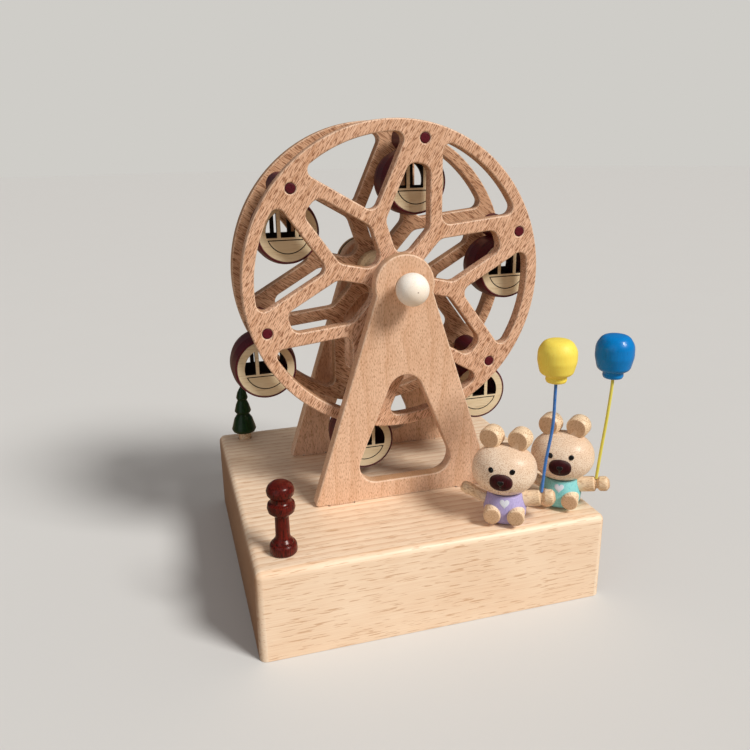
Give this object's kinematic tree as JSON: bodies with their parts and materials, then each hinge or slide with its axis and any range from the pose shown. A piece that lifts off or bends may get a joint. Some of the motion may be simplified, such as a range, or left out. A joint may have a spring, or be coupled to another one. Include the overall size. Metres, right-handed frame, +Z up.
{
  "type": "ferris wheel music box",
  "caption": "Wooden music box with a turning ferris wheel and hanging cars, toy bears with balloons, a tree and a post on a hollow square base.",
  "frame": {"origin": "on the ground under the middle of the base", "axes": "+Z up, +X to the right seen from the front, +Y from the front of the base to its back"},
  "size_m": [0.1276, 0.1171, 0.1587],
  "materials": {
    "beech": "oiled beech, fine grain, satin",
    "pale_beech": "pale oiled beech with short flecks, satin",
    "maple": "pale turned wood, satin",
    "plywood": "pale laser-cut plywood with dark burnt lines",
    "maroon_wood": "dark maroon stained wood, satin lacquer",
    "oxblood_wood": "dark red glossy lacquer on wood",
    "green_wood": "dark green glossy lacquer on wood",
    "lavender_wood": "lavender painted wood, satin",
    "mint_wood": "mint painted wood, satin",
    "yellow_wood": "yellow glossy painted wood",
    "blue_wood": "blue glossy painted wood",
    "blue_wire": "blue coated wire",
    "yellow_wire": "yellow coated wire",
    "steel": "plain steel",
    "brass": "turned brass",
    "belt_rubber": "black round belt"
  },
  "bodies": {
    "base": {"base_block": "pale_beech", "bottom_plate": "pale_beech", "front_a_frame": "beech", "rear_a_frame": "beech", "post": "oxblood_wood", "tree_top": "green_wood", "tree_trunk": "beech", "drive_belt": "belt_rubber", "movement_frame": "steel", "movement_comb": "steel", "spring_barrel": "brass", "yellow_balloon": "yellow_wood", "yellow_balloon_wire": "blue_wire", "blue_balloon": "blue_wood", "blue_balloon_wire": "yellow_wire", "lavender_bear_body": "lavender_wood", "lavender_bear_head": "beech", "lavender_bear_muzzle": "oxblood_wood", "lavender_bear_left_ear": "pale_beech", "lavender_bear_right_ear": "pale_beech", "lavender_bear_left_arm": "pale_beech", "lavender_bear_right_arm": "pale_beech", "lavender_bear_left_leg": "pale_beech", "lavender_bear_right_leg": "pale_beech", "mint_bear_body": "mint_wood", "mint_bear_head": "beech", "mint_bear_muzzle": "oxblood_wood", "mint_bear_left_ear": "pale_beech", "mint_bear_right_ear": "pale_beech", "mint_bear_left_arm": "pale_beech", "mint_bear_right_arm": "pale_beech", "mint_bear_left_leg": "pale_beech", "mint_bear_right_leg": "pale_beech"},
    "wheel": {"front_wheel": "beech", "rear_wheel": "beech", "wheel_axle": "maple", "hub_drum": "maple", "ball_cap": "maple", "axle_pulley": "pale_beech"},
    "car_1": {"car_1_ring": "maroon_wood", "car_1_front_panel": "plywood", "car_1_rear_panel": "plywood"},
    "car_2": {"car_2_ring": "maroon_wood", "car_2_front_panel": "plywood", "car_2_rear_panel": "plywood"},
    "car_3": {"car_3_ring": "maroon_wood", "car_3_front_panel": "plywood", "car_3_rear_panel": "plywood"},
    "car_4": {"car_4_ring": "maroon_wood", "car_4_front_panel": "plywood", "car_4_rear_panel": "plywood"},
    "car_5": {"car_5_ring": "maroon_wood", "car_5_front_panel": "plywood", "car_5_rear_panel": "plywood"},
    "car_6": {"car_6_ring": "maroon_wood", "car_6_front_panel": "plywood", "car_6_rear_panel": "plywood"},
    "cylinder": {"music_cylinder": "brass"},
    "fan": {"governor": "brass"},
    "key": {"winding_key": "steel"}
  },
  "joints": [
    {"name": "wheel_spin", "type": "hinge", "parent": "base", "child": "wheel", "pos_m": [0, 0.0029, 0.1065], "axis": [0, 1, 0], "continuous": true},
    {"name": "car_1_swing", "type": "hinge", "parent": "wheel", "child": "car_1", "pos_m": [-0.03492, 0.0029, 0.13805], "axis": [0, 1, 0], "continuous": true},
    {"name": "car_2_swing", "type": "hinge", "parent": "wheel", "child": "car_2", "pos_m": [0.00986, 0.0029, 0.15251], "axis": [0, 1, 0], "continuous": true},
    {"name": "car_3_swing", "type": "hinge", "parent": "wheel", "child": "car_3", "pos_m": [0.04478, 0.0029, 0.12096], "axis": [0, 1, 0], "continuous": true},
    {"name": "car_4_swing", "type": "hinge", "parent": "wheel", "child": "car_4", "pos_m": [0.03492, 0.0029, 0.07495], "axis": [0, 1, 0], "continuous": true},
    {"name": "car_5_swing", "type": "hinge", "parent": "wheel", "child": "car_5", "pos_m": [-0.00986, 0.0029, 0.06049], "axis": [0, 1, 0], "continuous": true},
    {"name": "car_6_swing", "type": "hinge", "parent": "wheel", "child": "car_6", "pos_m": [-0.04478, 0.0029, 0.09204], "axis": [0, 1, 0], "continuous": true},
    {"name": "cylinder_spin", "type": "hinge", "parent": "base", "child": "cylinder", "pos_m": [0, 0.003, 0.0187], "axis": [0, 1, 0], "continuous": true},
    {"name": "fan_spin", "type": "hinge", "parent": "base", "child": "fan", "pos_m": [-0.0195, 0.018, 0.0156], "axis": [0, 0, 1], "continuous": true},
    {"name": "key_turn", "type": "hinge", "parent": "base", "child": "key", "pos_m": [-0.0195, 0.001, 0.004], "axis": [0, 0, 1], "continuous": true}
  ],
  "couplings": [
    {"joint": "car_1_swing", "follows": "wheel_spin", "ratio": -1},
    {"joint": "car_2_swing", "follows": "wheel_spin", "ratio": -1},
    {"joint": "car_3_swing", "follows": "wheel_spin", "ratio": -1},
    {"joint": "car_4_swing", "follows": "wheel_spin", "ratio": -1},
    {"joint": "car_5_swing", "follows": "wheel_spin", "ratio": -1},
    {"joint": "car_6_swing", "follows": "wheel_spin", "ratio": -1},
    {"joint": "cylinder_spin", "follows": "wheel_spin", "ratio": 2},
    {"joint": "fan_spin", "follows": "wheel_spin", "ratio": 12}
  ]
}
